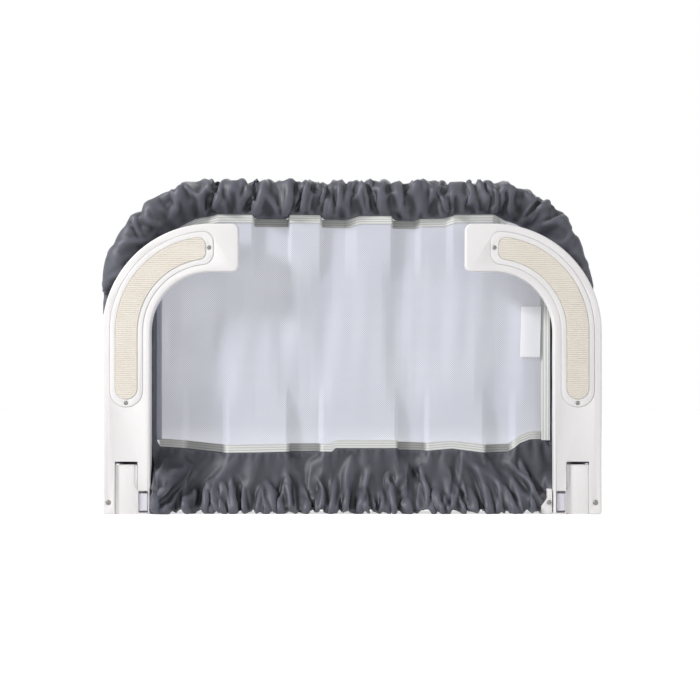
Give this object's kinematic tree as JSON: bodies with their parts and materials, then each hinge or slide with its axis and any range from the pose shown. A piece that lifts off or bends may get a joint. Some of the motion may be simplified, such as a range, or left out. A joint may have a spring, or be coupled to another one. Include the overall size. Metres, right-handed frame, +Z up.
{
  "type": "folding bed guard rail",
  "caption": "Bed guard rail, stored: L-shaped under-mattress arms with grip pads, folded up on a telescoping tube frame with gathered fabric sleeves and a mesh panel.",
  "frame": {"origin": "middle of the footprint, on the surface that the folded guard stands on", "axes": "+X along the rails towards the half that slides out, +Y away from the arms towards the child's side, +Z up"},
  "size_m": [0.6226, 0.062, 0.4173],
  "materials": {
    "white_plastic": "fine moulded satin",
    "button_plastic": "smooth moulded",
    "grip_rubber": "fine ribbed",
    "dark_fabric": "tight plain weave with a slight sheen",
    "binding_tape": "woven tape",
    "net_fabric": "fine diamond net",
    "patch_fabric": "smooth woven, pinked ends",
    "screw_steel": "zinc plated",
    "tube_paint": "powder coated"
  },
  "bodies": {
    "left_half": {"left_bracket": "white_plastic", "left_bracket_back": "white_plastic", "left_hinge_pin": "screw_steel", "left_lug_screw": "screw_steel", "left_back_screw_1": "screw_steel", "left_back_screw_2": "screw_steel", "left_corner_tube": "tube_paint", "left_side_sleeve": "dark_fabric", "left_side_binding": "binding_tape", "top_collar": "white_plastic", "bottom_outer_tube": "tube_paint", "bottom_collar": "white_plastic", "top_sleeve": "dark_fabric", "bottom_sleeve": "dark_fabric", "mesh_panel": "net_fabric", "top_binding": "binding_tape", "bottom_binding": "binding_tape"},
    "right_half": {"right_bracket": "white_plastic", "right_bracket_back": "white_plastic", "right_hinge_pin": "screw_steel", "right_lug_screw": "screw_steel", "right_back_screw_1": "screw_steel", "right_back_screw_2": "screw_steel", "right_corner_tube": "tube_paint", "right_side_sleeve": "dark_fabric", "right_side_binding": "binding_tape", "top_inner_tube": "tube_paint", "bottom_inner_tube": "tube_paint", "blank_patch": "patch_fabric"},
    "left_arm": {"left_arm_shell": "white_plastic", "left_arm_cover": "white_plastic", "left_pad_frame": "white_plastic", "left_grip_pad": "grip_rubber", "left_button_spring": "screw_steel", "left_pad_screw_lower": "screw_steel", "left_pad_screw_upper": "screw_steel", "left_prong_screw": "screw_steel", "left_cover_screw_1": "screw_steel", "left_cover_screw_2": "screw_steel"},
    "right_arm": {"right_arm_shell": "white_plastic", "right_arm_cover": "white_plastic", "right_pad_frame": "white_plastic", "right_grip_pad": "grip_rubber", "right_button_spring": "screw_steel", "right_pad_screw_lower": "screw_steel", "right_pad_screw_upper": "screw_steel", "right_prong_screw": "screw_steel", "right_cover_screw_1": "screw_steel", "right_cover_screw_2": "screw_steel"},
    "left_button": {"left_release_button": "button_plastic"},
    "right_button": {"right_release_button": "button_plastic"}
  },
  "joints": [
    {"name": "width_slide", "type": "slide", "parent": "left_half", "child": "right_half", "axis": [1, 0, 0], "range_m": [0, 0.28], "deforming": ["top_sleeve", "bottom_sleeve", "mesh_panel", "top_binding", "bottom_binding"]},
    {"name": "left_arm_hinge", "type": "hinge", "parent": "left_half", "child": "left_arm", "pos_m": [-0.28125, -0.015, 0.015], "axis": [1, 0, 0], "range_deg": [0, 90]},
    {"name": "right_arm_hinge", "type": "hinge", "parent": "right_half", "child": "right_arm", "pos_m": [0.28125, -0.015, 0.015], "axis": [1, 0, 0], "range_deg": [0, 90]},
    {"name": "left_button_press", "type": "slide", "parent": "left_arm", "child": "left_button", "axis": [0, 1, 0], "range_m": [0, 0.003], "stiffness_N_per_m": 600, "springref_m": -0.002, "deforming": ["left_button_spring"]},
    {"name": "right_button_press", "type": "slide", "parent": "right_arm", "child": "right_button", "axis": [0, 1, 0], "range_m": [0, 0.003], "stiffness_N_per_m": 600, "springref_m": -0.002, "deforming": ["right_button_spring"]}
  ]
}
